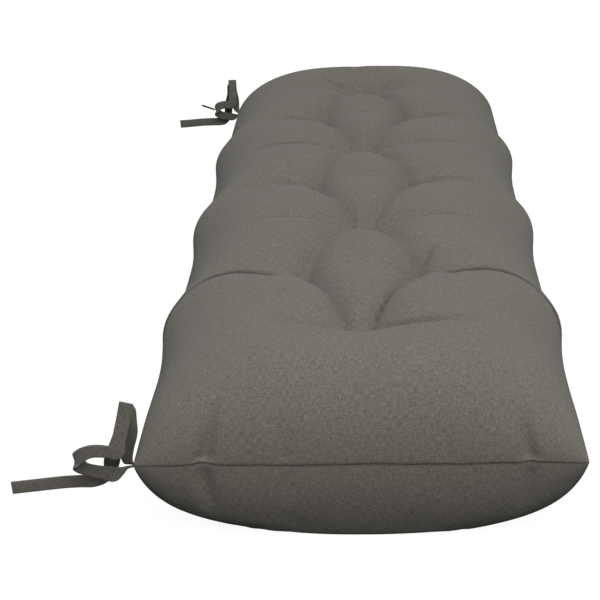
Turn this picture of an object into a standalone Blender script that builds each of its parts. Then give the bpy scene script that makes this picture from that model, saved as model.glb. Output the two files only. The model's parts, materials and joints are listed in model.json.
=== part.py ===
"""A tufted bench cushion with a pair of tie straps at each corner of one long side.

The cushion lies flat, its long side along Y. The origin is on the surface it rests
on, under the middle of the cushion, and +Z is up. Every length is in metres.
"""

import bmesh
import bpy
import numpy as np

# ---------------------------------------------------------------- driving sizes
WIDTH = 0.400             # seam to seam across
LENGTH = 1.200            # seam to seam along
SEAM_HEIGHT = 0.082       # the seam that joins the two panels runs halfway up
CROWN = 0.088             # what the filling lifts the top panel above the seam
BELLY = 0.092             # what it would push the lower panel down, were there no floor
SIDE_POWER = 3.0          # how square a panel is from side to side
END_POWER = 2.2           # and from end to end
TOP_RISE = 0.57           # how the top panel leaves the seam: 1 is straight, 0.5 is round
BELLY_RISE = 0.46
TOP_END_RUN = 0.060       # from an end seam to the full height of the crown
BELLY_END_RUN = 0.040

TUFT_ROWS = 7             # rows with one tuft and rows with two, in turn
ROW_PITCH = LENGTH / (TUFT_ROWS + 1)
PAIR_OFFSET = 0.058       # from the middle line to a tuft of a pair
SIDE_BULGE = 0.0125       # what the sides swell by at the rows of two
BULGE_REACH = 0.052       # how far along the side such a swelling goes
SEAM_SHARE = 0.2          # the share of it that the seam follows
BELLY_SHARE = 0.6         # the share of it that the lower panel's wall follows
UNDER_DIMPLE = 0.006      # what a tuft's thread draws the lower panel up
UNDER_DIMPLE_REACH = 0.022

SEAM_ANGLE = np.radians(60)   # edges that are folded more than this are drawn sharp
CELLS_ACROSS = 28
CELLS_ALONG = 64
EDGE_CELL_POWER = 1.42    # crowds the cells towards the long seams
END_CELLS_REACH = 0.075   # the cells also crowd within this of an end seam
END_CELL_POWER = 1.6

STRAP_WIDTH = 0.0125
STRAP_THICKNESS = 0.0016
STRAP_STEPS = 4           # pieces between two rows of a strap's route

CLOTH_COLOUR = (0.134, 0.128, 0.111, 1.0)
STRAP_COLOUR = (0.105, 0.100, 0.087, 1.0)

# A crease runs from one place to another. Its depth goes from "deep_a" to "deep_b" by way
# of "middle", and its sides rise over "reach". Across is from the middle line, and along
# is in rows from the row of the tuft it starts at. Both sides of the cushion have it.
CREASES = (
    # start, across_b,      rows_b, deep_a, middle, deep_b, reach
    ("one",  PAIR_OFFSET,   1,      0.026,  0.017,  0.026,  0.036),
    ("one",  PAIR_OFFSET,  -1,      0.026,  0.017,  0.026,  0.036),
    ("one",  0.135,         0,      0.024,  0.008,  0.002,  0.040),
    ("two",  0.0,           0,      0.026,  0.009,  0.009,  0.034),
    ("two",  WIDTH / 2,     0,      0.028,  0.013,  0.010,  0.026),
)
CREASE_SHARPNESS = 1.6
CREASE_MERGE = 4.0        # how sharply the deepest of several creases wins


# ---------------------------------------------------------------- scene helpers
def clear_scene():
    """Removes every object, so that the file can be run again."""
    for old in list(bpy.data.objects):
        bpy.data.objects.remove(old, do_unlink=True)


def new_collection(name):
    """A new collection of the scene."""
    made = bpy.data.collections.new(name)
    bpy.context.scene.collection.children.link(made)
    return made


def cloth_material(name, colour):
    """Matt woven cloth of one colour."""
    material = bpy.data.materials.new(name)
    material.use_nodes = True
    shader = material.node_tree.nodes["Principled BSDF"]
    shader.inputs["Base Color"].default_value = colour
    shader.inputs["Roughness"].default_value = 0.92
    shader.inputs["Metallic"].default_value = 0.0
    return material


def add_object(name, mesh, material, collection):
    """An object of this mesh, with its material, in the collection."""
    mesh.materials.append(material)
    made = bpy.data.objects.new(name, mesh)
    collection.objects.link(made)
    return made


# ---------------------------------------------------------------- the filled body
def fullness(across, along, end_run, rise):
    """0 along the whole seam and 1 in the middle of a panel."""
    from_side = np.clip(1.0 - np.abs(across) / (WIDTH / 2), 0.0, 1.0)
    from_end = np.clip((LENGTH / 2 - np.abs(along)) / end_run, 0.0, 1.0)
    across_full = 1.0 - (1.0 - from_side) ** SIDE_POWER
    along_full = 1.0 - (1.0 - from_end) ** END_POWER
    return (across_full * along_full) ** rise


def row_along(row):
    """Where a row of tufts lies, with row 1 nearest the end at -Y."""
    return row * ROW_PITCH - LENGTH / 2


def tuft_places():
    """(across, along) of each tuft: odd rows have one, and even rows two."""
    places = []
    for row in range(1, TUFT_ROWS + 1):
        offsets = (0.0,) if row % 2 else (-PAIR_OFFSET, PAIR_OFFSET)
        places += [(offset, row_along(row)) for offset in offsets]
    return places


def crease_lines():
    """Every crease as (start point, end point, its three depths, its reach)."""
    lines = []
    for row in range(1, TUFT_ROWS + 1):
        kind = "one" if row % 2 else "two"
        start_across = 0.0 if row % 2 else PAIR_OFFSET
        for start, across_b, rows_b, deep_a, middle, deep_b, reach in CREASES:
            if start != kind or not 1 <= row + rows_b <= TUFT_ROWS:
                continue
            for side in (-1.0, 1.0):
                a = np.array((side * start_across, row_along(row)))
                b = np.array((side * across_b, row_along(row + rows_b)))
                lines.append((a, b, (deep_a, middle, deep_b), reach))
    return lines


def crease_depth(across, along):
    """How far the tufts' threads and the creases between them draw the top panel down."""
    total = np.zeros_like(across)
    for a, b, depths, reach in crease_lines():
        run = b - a
        share = ((across - a[0]) * run[0] + (along - a[1]) * run[1]) / run.dot(run)
        share = np.clip(share, 0.0, 1.0)
        away = np.hypot(across - a[0] - share * run[0], along - a[1] - share * run[1])
        depth = np.interp(share, (0.0, 0.5, 1.0), depths)
        wall = np.clip(1.0 - away / reach, 0.0, 1.0) ** CREASE_SHARPNESS
        total += (depth * wall) ** CREASE_MERGE
    return total ** (1.0 / CREASE_MERGE)


def side_swelling(across, along, full, share):
    """How far a point of the sides moves out, most at the rows of two tufts.

    The seam itself moves by SEAM_SHARE of the bulge, and a panel's wall by up to share.
    """
    out = np.zeros_like(across)
    for row in range(2, TUFT_ROWS + 1, 2):
        out += np.exp(-((along - row_along(row)) / BULGE_REACH) ** 2)
    wall = 4.0 * full * (1.0 - full) * (np.abs(across) > WIDTH / 4)
    return np.sign(across) * SIDE_BULGE * out * (share * wall + SEAM_SHARE * (1.0 - full))


def top_panel(across, along):
    """The top panel's points: the crown, less what the creases take from it."""
    full = fullness(across, along, TOP_END_RUN, TOP_RISE)
    height = CROWN * full - crease_depth(across, along) * np.minimum(full * 1.3, 1.0)
    x = across + side_swelling(across, along, full, 1.0)
    return np.stack((x, along, SEAM_HEIGHT + np.maximum(height, 0.0)), axis=1)


def lower_panel(across, along):
    """The lower panel's points, flat where the belly lies on the surface."""
    full = fullness(across, along, BELLY_END_RUN, BELLY_RISE)
    height = np.maximum(SEAM_HEIGHT - BELLY * full, 0.0)
    for place in tuft_places():
        away = np.hypot(across - place[0], along - place[1])
        height += UNDER_DIMPLE * np.clip(1.0 - (away / UNDER_DIMPLE_REACH) ** 2, 0.0, 1.0)
    x = across + side_swelling(across, along, full, BELLY_SHARE)
    return np.stack((x, along, height), axis=1)


def crowd_to_edges(across, along):
    """Moves an even grid's points so that its cells are smaller near the seams."""
    half = WIDTH / 2
    across = np.sign(across) * half * (1.0 - (1.0 - np.abs(across) / half) ** EDGE_CELL_POWER)
    from_end = LENGTH / 2 - np.abs(along)
    share = np.clip(from_end / END_CELLS_REACH, 0.0, 1.0)
    from_end = np.where(share < 1.0, END_CELLS_REACH * share ** END_CELL_POWER, from_end)
    return across, np.sign(along) * (LENGTH / 2 - from_end)


def panel_mesh(place, flip):
    """A panel as a flat grid of cloth, with each of its points moved by place."""
    panel = bmesh.new()
    bmesh.ops.create_grid(panel, x_segments=CELLS_ACROSS, y_segments=CELLS_ALONG, size=0.5)
    flat = np.array([vertex.co[:] for vertex in panel.verts])
    across, along = crowd_to_edges(flat[:, 0] * WIDTH, flat[:, 1] * LENGTH)
    for vertex, point in zip(panel.verts, place(across, along)):
        vertex.co = point
    if flip:
        bmesh.ops.reverse_faces(panel, faces=panel.faces)
    mesh = bpy.data.meshes.new("panel")
    panel.to_mesh(mesh)
    panel.free()
    return mesh


def make_cushion(collection):
    """The filled body: two panels sewn round their edges, as one closed solid."""
    body = bmesh.new()
    for place, flip in ((top_panel, False), (lower_panel, True)):
        panel = panel_mesh(place, flip)
        body.from_mesh(panel)
        bpy.data.meshes.remove(panel)
    bmesh.ops.remove_doubles(body, verts=body.verts, dist=0.0001)
    bmesh.ops.recalc_face_normals(body, faces=body.faces)
    mesh = bpy.data.meshes.new("cushion_body")
    body.to_mesh(mesh)
    body.free()
    mesh.shade_smooth()
    mesh.set_sharp_from_angle(angle=SEAM_ANGLE)
    material = cloth_material("cushion_cloth", CLOTH_COLOUR)
    return add_object("cushion_body", mesh, material, collection)


# ---------------------------------------------------------------- the tie straps
# Each row of a route is a place on the middle line of a strap, in millimetres from its
# corner of the cushion: out past the side, up, and along towards +Y. Wide is a share of
# STRAP_WIDTH, and across names the way that the strap's width points there.
ACROSS = {
    "up": (0.0, 1.0, 0.0),
    "out": (1.0, 0.0, 0.0),
    "turn": (0.7, 0.7, 0.0),
    "lean": (0.42, 0.0, -0.91),
    "edge": (0.09, -0.26, 0.96),
}
ROUTES = {
    # out, up, along, wide, across
    "tie_near_looped": (
        (0.4, 0.0, -1.0, 0.15, "up"),
        (4.5, 0.5, -4.0, 0.20, "up"),
        (8.5, 0.8, -7.0, 0.60, "up"),
        (14.0, -0.5, -9.0, 1.00, "up"),
        (24.0, -0.5, -10.0, 1.00, "up"),
        (35.0, 1.0, -10.0, 1.00, "up"),
        (43.0, 4.5, -11.0, 1.00, "up"),
        (47.5, 13.0, -16.0, 1.00, "up"),
        (41.0, 21.5, -21.0, 1.00, "up"),
        (33.0, 25.5, -22.0, 1.00, "up"),
        (23.5, 26.5, -22.0, 1.00, "up"),
        (15.0, 26.0, -21.5, 0.70, "up"),
        (9.0, 27.5, -21.0, 0.35, "turn"),
        (6.0, 34.0, -20.0, 0.70, "out"),
        (3.5, 43.0, -19.0, 1.00, "out"),
        (0.5, 57.0, -18.0, 1.00, "out"),
        (-2.0, 71.0, -17.0, 1.00, "out"),
    ),
    "tie_near_tailed": (
        (0.4, 2.3, -1.2, 0.12, "out"),
        (0.0, 8.5, -6.5, 0.40, "lean"),
        (-3.0, 22.5, -10.0, 0.90, "lean"),
        (-5.5, 35.0, -10.5, 1.00, "lean"),
        (-5.5, 47.0, -10.0, 1.00, "lean"),
        (-4.0, 57.0, -9.0, 1.00, "lean"),
        (-0.5, 60.5, -7.5, 1.00, "lean"),
        (3.0, 56.0, -5.5, 1.00, "lean"),
        (5.5, 42.0, -4.0, 1.00, "lean"),
        (8.0, 26.0, -2.0, 0.85, "lean"),
        (11.5, 11.0, 1.0, 0.60, "lean"),
        (18.5, -4.0, 2.5, 0.70, "turn"),
        (28.0, -13.0, 3.0, 0.90, "up"),
        (38.0, -16.5, 3.5, 1.00, "up"),
        (49.0, -16.7, 3.5, 1.00, "up"),
        (64.0, -17.3, 3.0, 1.00, "up"),
        (86.0, -19.0, 1.5, 1.00, "up"),
        (110.0, -20.5, -1.0, 1.00, "up"),
    ),
    "tie_far_looped": (
        (0.6, -0.8, 1.0, 0.12, "up"),
        (5.0, -4.5, 3.5, 0.40, "up"),
        (10.0, -6.5, 5.0, 0.80, "up"),
        (17.5, -6.5, 6.0, 1.00, "up"),
        (25.5, -5.5, 6.0, 1.00, "up"),
        (32.0, -2.0, 5.0, 1.00, "up"),
        (35.5, 5.5, 0.0, 1.00, "up"),
        (30.5, 14.0, -5.0, 1.00, "up"),
        (22.0, 16.5, -6.0, 1.00, "up"),
        (15.0, 16.5, -6.0, 0.70, "up"),
        (9.5, 18.0, -5.5, 0.35, "turn"),
        (8.0, 24.0, -5.0, 0.70, "out"),
        (7.5, 33.0, -4.5, 1.00, "out"),
        (7.3, 43.0, -4.0, 1.00, "out"),
        (7.5, 54.0, -3.0, 1.00, "out"),
    ),
    "tie_far_tailed": (
        (0.6, 1.6, 1.0, 0.12, "out"),
        (1.5, 8.5, 6.0, 0.40, "lean"),
        (3.5, 19.5, 9.0, 0.90, "lean"),
        (5.0, 33.0, 9.0, 1.00, "lean"),
        (5.8, 43.0, 9.0, 1.00, "lean"),
        (7.1, 47.3, 9.2, 1.00, "lean"),
        (10.0, 49.0, 9.5, 1.00, "lean"),
        (12.9, 47.3, 10.0, 1.00, "lean"),
        (14.2, 43.0, 10.5, 1.00, "lean"),
        (14.8, 32.0, 11.5, 1.00, "lean"),
        (14.5, 18.0, 12.5, 0.85, "lean"),
        (15.5, 3.0, 13.0, 0.50, "lean"),
        (19.0, -8.0, 13.0, 0.60, "turn"),
        (26.0, -14.0, 13.0, 0.90, "up"),
        (34.0, -14.5, 12.5, 1.00, "up"),
        (44.0, -14.3, 12.0, 1.00, "up"),
        (60.5, -14.5, 11.0, 1.00, "up"),
        (77.5, -15.5, 10.0, 1.00, "up"),
        (95.5, -16.3, 9.0, 1.00, "up"),
    ),
    "tie_far_tab": (
        (40.0, 9.0, 1.5, 0.80, "edge"),
        (47.5, 12.0, 0.5, 1.00, "edge"),
        (58.0, 16.0, 0.0, 1.00, "edge"),
    ),
}
MILLIMETRE = 0.001


def smooth_rows(rows):
    """The rows with STRAP_STEPS pieces between them, along a Catmull-Rom curve."""
    padded = np.concatenate((2 * rows[:1] - rows[1:2], rows, 2 * rows[-1:] - rows[-2:-1]))
    before, start, end, after = padded[:-3], padded[1:-2], padded[2:-1], padded[3:]
    points = []
    for t in np.arange(STRAP_STEPS) / STRAP_STEPS:
        points.append(
            start
            + 0.5 * t * (end - before)
            + t * t * (before - 2.5 * start + 2.0 * end - 0.5 * after)
            + t ** 3 * (1.5 * (start - end) + 0.5 * (after - before))
        )
    smooth = np.stack(points, axis=1).reshape(-1, rows.shape[1])
    return np.concatenate((smooth, rows[-1:]))


def to_world(vectors):
    """Out, up and along as X, Y and Z."""
    out, up, along = vectors.T
    return np.stack((-out, along, up), axis=1)


def strap_rims(route, corner):
    """The two long edges of a strap, from the rows of its route."""
    places = np.array([row[:4] for row in route])
    directions = np.array([ACROSS[row[4]] for row in route])
    smooth = smooth_rows(np.concatenate((places, directions), axis=1))
    middle = to_world(smooth[:, :3]) * MILLIMETRE
    line = np.gradient(middle, axis=0)
    line /= np.linalg.norm(line, axis=1, keepdims=True)
    across = to_world(smooth[:, 4:])
    across -= (across * line).sum(axis=1, keepdims=True) * line
    across /= np.linalg.norm(across, axis=1, keepdims=True)
    half = across * smooth[:, 3:4] * STRAP_WIDTH / 2
    return corner + middle - half, corner + middle + half


def make_strap(name, route, corner, material, collection):
    """A strap as a strip of cloth that Solidify gives its thickness."""
    strip = bmesh.new()
    rungs = [[strip.verts.new(point) for point in pair] for pair in zip(*strap_rims(route, corner))]
    for (low_a, high_a), (low_b, high_b) in zip(rungs, rungs[1:]):
        strip.faces.new((low_a, low_b, high_b, high_a))
    mesh = bpy.data.meshes.new(name)
    strip.to_mesh(mesh)
    strip.free()
    mesh.shade_smooth()
    strap = add_object(name, mesh, material, collection)
    thicken = strap.modifiers.new("thickness", "SOLIDIFY")
    thicken.thickness = STRAP_THICKNESS
    thicken.offset = 0.0
    return strap


def make_straps(collection):
    """The straps at both corners of the cushion's -X side."""
    material = cloth_material("strap_cloth", STRAP_COLOUR)
    for name, route in ROUTES.items():
        end = 1.0 if "far" in name else -1.0
        corner = np.array((-WIDTH / 2, end * LENGTH / 2, SEAM_HEIGHT))
        make_strap(name, route, corner, material, collection)


def main():
    clear_scene()
    collection = new_collection("bench_cushion")
    make_cushion(collection)
    make_straps(collection)


main()
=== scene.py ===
# %% [markdown]
# # A tufted bench cushion with tie straps
# The real cushion is two panels of linen-look cloth, sewn together round their edges and
# filled. Threads through the filling pull the cloth down in tufts, in rows of one and two
# in turn, and narrow straps of the same cloth are sewn in at two of the corners.
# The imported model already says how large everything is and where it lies. This script
# makes the surfaces that are looked at, in the same place.

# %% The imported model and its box
import json
import math

import bpy
import numpy as np
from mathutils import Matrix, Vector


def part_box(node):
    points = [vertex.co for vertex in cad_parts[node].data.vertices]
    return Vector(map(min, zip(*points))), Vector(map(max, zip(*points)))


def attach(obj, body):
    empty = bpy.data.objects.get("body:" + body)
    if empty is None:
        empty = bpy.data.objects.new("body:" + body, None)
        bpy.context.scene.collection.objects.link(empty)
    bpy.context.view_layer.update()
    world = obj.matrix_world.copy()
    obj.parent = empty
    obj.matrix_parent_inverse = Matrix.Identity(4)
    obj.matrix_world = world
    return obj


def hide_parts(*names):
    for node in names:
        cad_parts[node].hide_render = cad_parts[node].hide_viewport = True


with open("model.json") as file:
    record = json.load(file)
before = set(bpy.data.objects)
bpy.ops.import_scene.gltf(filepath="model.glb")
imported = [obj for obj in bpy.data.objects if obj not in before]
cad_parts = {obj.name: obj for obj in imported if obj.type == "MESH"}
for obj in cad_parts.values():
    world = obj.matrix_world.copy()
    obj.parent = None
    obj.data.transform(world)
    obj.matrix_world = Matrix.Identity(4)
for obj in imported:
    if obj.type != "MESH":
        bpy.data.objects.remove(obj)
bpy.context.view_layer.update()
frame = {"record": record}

# %% [markdown]
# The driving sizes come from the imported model. The body's box gives the length, and the
# place where the near straps are sewn in gives the height of the seam. The other numbers
# shape the two panels, and keep them close to the plain body.

# %% Driving sizes
body_low, body_high = (np.array(corner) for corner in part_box("cushion_body"))
sewn_in = {mount["name"]: mount["pos_m"] for mount in frame["record"]["mounts"]}
LENGTH = round(float(body_high[1] - body_low[1]), 3)
SEAM_HEIGHT = sewn_in["near_tie"][2]
SIDE_BULGE = 0.0125       # what the sides swell by at the rows of two tufts
SEAM_SHARE = 0.2          # the share of it that the seam follows
WIDTH = 0.400             # seam to seam; the box is wider by what the sides swell
CROWN = 0.088             # what the filling lifts the top panel above the seam
BELLY = 0.092             # what it would push the lower panel down, were there no floor
SIDE_POWER, END_POWER = 3.0, 2.6      # how square a panel is across and along
TOP_RISE, BELLY_RISE = 0.57, 0.46     # how the panels leave the seam: 0.5 is round
TOP_END_RUN, BELLY_END_RUN = 0.095, 0.040   # from an end seam to the full height
FAR_END_RUN, FAR_END_POWER = 0.080, 3.6    # the same for the top panel at the far end
END_LIFT = 0.0085         # what the ends of the lower panel curve up off the floor
TUFT_ROWS = 7             # rows with one tuft and rows with two, in turn
ROW_PITCH = LENGTH / (TUFT_ROWS + 1)
PAIR_OFFSET = 0.058       # from the middle line to a tuft of a pair
BULGE_REACH = 0.056       # how far along the side a swelling goes
BULGE_SHIFT = 0.028       # how far it lies from its row, towards the end at -Y
print("length", LENGTH, "seam height", round(SEAM_HEIGHT, 4), "row pitch", ROW_PITCH)

# %% [markdown]
# ## The camera, the light and the floor
# The cushion is looked at along its length from a little above, with a long lens. The
# light is a plain white room that is brighter overhead, with one large soft lamp high in
# front of the near end. A lamp this large casts no hard shadow, so the folds show as soft
# shading, and the lower panel, which faces away from it, goes dark towards the floor.

# %% The camera
camera = bpy.data.objects.new("camera", bpy.data.cameras.new("camera"))
bpy.context.scene.collection.objects.link(camera)
camera.location = (0.0185, -1.8258, SEAM_HEIGHT + 0.6405)
camera.rotation_euler = [math.radians(angle) for angle in (68.428, 1.764, 2.388)]
camera.data.lens = 94.07
camera.data.clip_end = 100.0
bpy.context.scene.camera = camera
print("the camera stands", round(-LENGTH / 2 - camera.location[1], 2), "m from the near end")

# %% The light
ROOM_AXIS = (0.14, -0.35, 0.92)          # towards the brightest part of the room
ROOM_MIDDLE, ROOM_SLOPE = 0.355, 0.38
LAMP_PLACE, LAMP_SIZE, LAMP_POWER = (0.8, -2.8, 3.2), 2.4, 101.0


def soft_lamp(name, place, size, power):
    """A square lamp that faces the origin, under the cushion's middle."""
    lamp = bpy.data.lights.new(name, "AREA")
    lamp.size, lamp.energy = size, power
    holder = bpy.data.objects.new(name, lamp)
    bpy.context.scene.collection.objects.link(holder)
    holder.location = place
    way = -np.array(place) / np.linalg.norm(place)
    holder.rotation_euler = (math.acos(-way[2]), 0.0, math.atan2(-way[0], way[1]))
    return holder


def white_room(axis, middle, slope):
    """A room whose light is middle + slope x cos(angle to axis), and never below 0."""
    world = bpy.data.worlds.new("white_room")
    bpy.context.scene.world = world
    world.use_nodes = True
    tree = world.node_tree
    way = tree.nodes.new("ShaderNodeTexCoord")
    along_axis = tree.nodes.new("ShaderNodeVectorMath")
    along_axis.operation = "DOT_PRODUCT"
    along_axis.inputs[1].default_value = np.array(axis) / np.linalg.norm(axis)
    light = tree.nodes.new("ShaderNodeMath")
    light.operation = "MULTIPLY_ADD"
    light.inputs[1].default_value, light.inputs[2].default_value = slope, middle
    floor_of_light = tree.nodes.new("ShaderNodeMath")
    floor_of_light.operation = "MAXIMUM"
    floor_of_light.inputs[1].default_value = 0.0
    tree.links.new(way.outputs["Generated"], along_axis.inputs[0])
    tree.links.new(along_axis.outputs["Value"], light.inputs[0])
    tree.links.new(light.outputs[0], floor_of_light.inputs[0])
    background = tree.nodes["Background"]
    background.inputs["Color"].default_value = (1.0, 1.0, 1.0, 1.0)
    tree.links.new(floor_of_light.outputs[0], background.inputs["Strength"])
    return world


white_room(ROOM_AXIS, ROOM_MIDDLE, ROOM_SLOPE)
soft_lamp("lamp_in_front", LAMP_PLACE, LAMP_SIZE, LAMP_POWER)
bpy.context.scene.view_settings.view_transform = "Standard"
print("a room and a lamp of", LAMP_POWER, "W")

# %% [markdown]
# ## Materials
# The cloth is a plain weave of uneven yarns, so each yarn has its own shade and runs
# thick and thin along its length. A UV map in metres follows the cloth over the filling,
# and the weave is worked out from it: the yarns' rounded crossings for the bump and for a
# painted shade between the yarns, and long streaks of noise, one set along each direction,
# for the slubs. Shade is also painted in along the seams, in sharp folds and at the
# straps' knots, from the attribute "seam".

# %% Helpers for node trees
def add_node(tree, kind, **settings):
    """A new node, with its settings by name."""
    made = tree.nodes.new(kind)
    for name, value in settings.items():
        setattr(made, name, value)
    return made


def feed(tree, node, socket, source):
    """Sets a socket to a number, or links another node's output to it."""
    if isinstance(source, (int, float)):
        node.inputs[socket].default_value = source
    else:
        tree.links.new(source, node.inputs[socket])


def math_node(tree, operation, first, second=0.0, third=0.0):
    """The output of a Math node."""
    made = add_node(tree, "ShaderNodeMath", operation=operation)
    for socket, source in enumerate((first, second, third)):
        feed(tree, made, socket, source)
    return made.outputs[0]


def noise_on(tree, vector, scale, detail=2.0):
    """Noise from 0 to 1, on a vector that is stretched by scale (x, y, z)."""
    stretch = add_node(tree, "ShaderNodeMapping")
    stretch.inputs["Scale"].default_value = scale
    tree.links.new(vector, stretch.inputs["Vector"])
    made = add_node(tree, "ShaderNodeTexNoise")
    made.inputs["Scale"].default_value = 1.0
    made.inputs["Detail"].default_value = detail
    tree.links.new(stretch.outputs["Vector"], made.inputs["Vector"])
    return made.outputs["Fac"]


# %% The woven cloth
YARN = 0.00105            # from the middle of one yarn to the next
# changes of noise per metre along U and V: warp slubs are long in V, and weft slubs in U
WARP_SLUBS, WEFT_SLUBS = (1000.0, 170.0, 1.0), (210.0, 780.0, 1.0)
SLUB_DETAIL = 1.2
WEAR, WEAR_DETAIL = (14.0, 11.0, 1.0), 3.0
# YARN_SHADE paints shade: the colour is darker in the grooves between the yarns
YARN_SHADE, WEAR_SHADE = (0.24, 0.85), (0.12, 0.94)      # a slope and what it adds to
SLUB_BUMP, BUMP_STRENGTH, BUMP_HEIGHT = 1.2, 0.6, 0.0004


def woven_cloth(name, colour, slub=0.95, seam_shade=0.4):
    """Plain weave with slubs, darker by painted shade from the attribute "seam", which is 1 on
    the seam.

    The colour is multiplied by streaks of noise, by the yarns' height and by wear, each
    as slope x value + base. The bump is the yarns' height and a share of the streaks.
    """
    made = bpy.data.materials.new(name)
    made.use_nodes = True
    tree = made.node_tree
    shader = tree.nodes["Principled BSDF"]
    shader.inputs["Roughness"].default_value = 0.9
    shader.inputs["Specular IOR Level"].default_value = 0.25
    shader.inputs["Sheen Weight"].default_value = 0.12
    shader.inputs["Sheen Roughness"].default_value = 0.5
    place = add_node(tree, "ShaderNodeUVMap", uv_map="weave").outputs["UV"]
    parts = add_node(tree, "ShaderNodeSeparateXYZ")
    tree.links.new(place, parts.inputs["Vector"])
    yarns = [math_node(tree, "DIVIDE", parts.outputs[axis], YARN) for axis in ("X", "Y")]
    # a yarn's height is a round ridge, and each crossing shows one of the two on top
    ridges = [math_node(tree, "ABSOLUTE", math_node(tree, "SINE",
              math_node(tree, "MULTIPLY", count, math.pi))) for count in yarns]
    floors = [math_node(tree, "FLOOR", count) for count in yarns]
    over = math_node(tree, "MODULO", math_node(tree, "ADD", *floors), 2.0)
    over = math_node(tree, "ABSOLUTE", over)
    height = add_node(tree, "ShaderNodeMix")
    for socket, source in ((0, over), (2, ridges[0]), (3, ridges[1])):
        feed(tree, height, socket, source)
    # slubs: streaks about six yarns long and one yarn wide, along both sets of yarns
    warp = noise_on(tree, place, WARP_SLUBS, SLUB_DETAIL)
    weft = noise_on(tree, place, WEFT_SLUBS, SLUB_DETAIL)
    streaks = math_node(tree, "MULTIPLY", math_node(tree, "ADD", warp, weft), 0.5)
    worn = noise_on(tree, place, WEAR, WEAR_DETAIL)
    shade = math_node(tree, "MULTIPLY_ADD", streaks, slub * 2.0, 1.0 - slub)
    # painted shade between the yarns, from their height
    shade = math_node(tree, "MULTIPLY", shade,
                      math_node(tree, "MULTIPLY_ADD", height.outputs[0], *YARN_SHADE))
    shade = math_node(tree, "MULTIPLY", shade,
                      math_node(tree, "MULTIPLY_ADD", worn, *WEAR_SHADE))
    # painted shade: the attribute "seam" darkens the colour along the seams, in sharp folds and
    # at the straps' knots
    seam = add_node(tree, "ShaderNodeAttribute", attribute_name="seam").outputs["Fac"]
    shade = math_node(tree, "MULTIPLY", shade, math_node(tree, "MULTIPLY_ADD", seam,
                      seam_shade - 1.0, 1.0))
    tint = add_node(tree, "ShaderNodeMix", data_type="RGBA", blend_type="MULTIPLY")
    tint.inputs[0].default_value = 1.0
    tint.inputs[6].default_value = (*colour, 1.0)
    grey = add_node(tree, "ShaderNodeCombineColor")
    for socket in range(3):
        tree.links.new(shade, grey.inputs[socket])
    tree.links.new(grey.outputs[0], tint.inputs[7])
    tree.links.new(tint.outputs[2], shader.inputs["Base Color"])
    bump = add_node(tree, "ShaderNodeBump")
    bump.inputs["Strength"].default_value = BUMP_STRENGTH
    bump.inputs["Distance"].default_value = BUMP_HEIGHT
    tree.links.new(math_node(tree, "ADD", height.outputs[0],
                   math_node(tree, "MULTIPLY", streaks, SLUB_BUMP)), bump.inputs["Height"])
    tree.links.new(bump.outputs["Normal"], shader.inputs["Normal"])
    return made


cushion_cloth = woven_cloth("cushion_cloth", (0.155, 0.145, 0.122))
strap_cloth = woven_cloth("strap_cloth", (0.150, 0.141, 0.121), seam_shade=0.35)
print("cloth of", round(1.0 / (YARN * 1000), 2), "yarns per millimetre, for cushion and straps")

# %% [markdown]
# The floor is plain and pale. What the camera sees of it glows nearly white, but it sends
# no light up to the cushion, so the lower panel stays as dark as on a table that the
# cushion shades. A Light Path node keeps the two apart.

# %% The floor
FLOOR_SIZE, FLOOR_DROP = 40.0, 0.0004      # it lies just under the belly
floor_material = bpy.data.materials.new("pale_floor")
floor_material.use_nodes = True
floor_tree = floor_material.node_tree
floor_tree.nodes.clear()


def floor_side(grey, glow):
    """Matt paper of this grey, with a share of its own light."""
    matt = add_node(floor_tree, "ShaderNodeBsdfDiffuse")
    matt.inputs["Color"].default_value = (grey, grey, grey, 1.0)
    light = add_node(floor_tree, "ShaderNodeEmission")
    light.inputs["Strength"].default_value = glow
    both = add_node(floor_tree, "ShaderNodeAddShader")
    floor_tree.links.new(matt.outputs[0], both.inputs[0])
    floor_tree.links.new(light.outputs[0], both.inputs[1])
    return both.outputs[0]


floor_mix = add_node(floor_tree, "ShaderNodeMixShader")
floor_path = add_node(floor_tree, "ShaderNodeLightPath")
floor_tree.links.new(floor_path.outputs["Is Camera Ray"], floor_mix.inputs[0])
floor_tree.links.new(floor_side(0.0, 0.0), floor_mix.inputs[1])
floor_tree.links.new(floor_side(0.12, 0.95), floor_mix.inputs[2])
floor_end = add_node(floor_tree, "ShaderNodeOutputMaterial")
floor_tree.links.new(floor_mix.outputs[0], floor_end.inputs["Surface"])
bpy.ops.mesh.primitive_plane_add(size=FLOOR_SIZE, location=(0.0, 0.0, -FLOOR_DROP))
floor = bpy.context.object
floor.name = "floor"
floor.data.materials.append(floor_material)
print("a floor of", FLOOR_SIZE, "m")

# %% [markdown]
# ## The cushion's shape
# A filled panel is a surface over the flat cloth: `fullness` is 0 along the whole seam and
# 1 in the middle, and the filling lifts each point by its share of the crown. What the
# tufts' threads draw down is taken away again. Everything is worked out as whole arrays on
# one grid of places, (across, along), measured from the middle of the panel.

# %% How full a panel is
def fullness(across, along, end_run, rise, end_power=END_POWER):
    """((1 - (1 - side)^SIDE_POWER) x (1 - (1 - end)^end_power))^rise.

    Side and end are how far in a place is from the seams: 0 at a seam, and 1 on the
    middle line for side, or end_run in from the end seam for end.
    """
    from_side = np.clip(1.0 - np.abs(across) / (WIDTH / 2), 0.0, 1.0)
    from_end = np.clip((LENGTH / 2 - np.abs(along)) / end_run, 0.0, 1.0)
    across_full = 1.0 - (1.0 - from_side) ** SIDE_POWER
    along_full = 1.0 - (1.0 - from_end) ** end_power
    return (across_full * along_full) ** rise


def row_along(row):
    """Where a row of tufts lies, with row 1 nearest the end at -Y."""
    return row * ROW_PITCH - LENGTH / 2


tufts = [(across, row_along(row)) for row in range(1, TUFT_ROWS + 1)
         for across in ((0.0,) if row % 2 else (-PAIR_OFFSET, PAIR_OFFSET))]
print(len(tufts), "tufts")

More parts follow.
